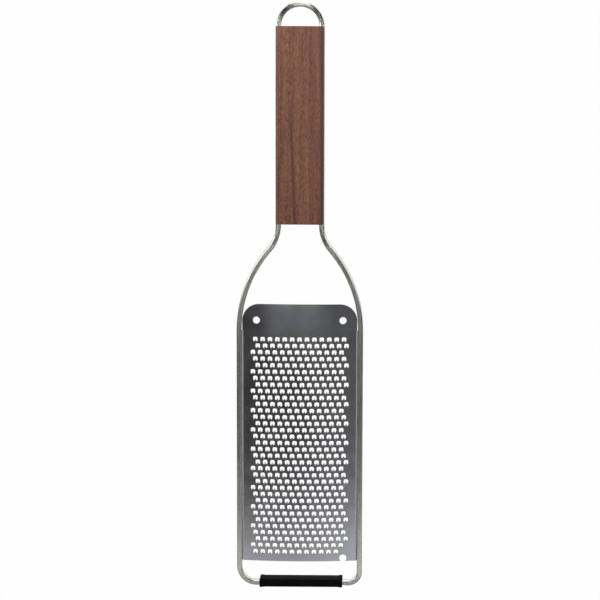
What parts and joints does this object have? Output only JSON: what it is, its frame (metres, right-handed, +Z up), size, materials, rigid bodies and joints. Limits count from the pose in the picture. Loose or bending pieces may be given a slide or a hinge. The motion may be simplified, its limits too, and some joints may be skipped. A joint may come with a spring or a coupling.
{
  "type": "rasp zester",
  "caption": "Paddle rasp zester: bent steel bar frame with hanging loop, crowned toothed blade, grooved walnut grip and rubber tip foot.",
  "frame": {"origin": "on the resting surface, under the middle of the tool", "axes": "+Y along the tool from the foot to the hanging loop, +Z up out of the toothed face, +X to the right seen from the toothed side"},
  "size_m": [0.07, 0.3244, 0.016],
  "materials": {
    "frame_steel": "satin, brushed along the bar",
    "blade_steel": "satin, bright etched tooth edges",
    "walnut": "oiled, straight grain along the grip",
    "foot_rubber": "matt moulded black"
  },
  "bodies": {
    "root": {"frame_bar": "frame_steel", "grating_blade": "blade_steel", "handle_block": "walnut", "foot_sleeve": "foot_rubber"}
  },
  "joints": []
}
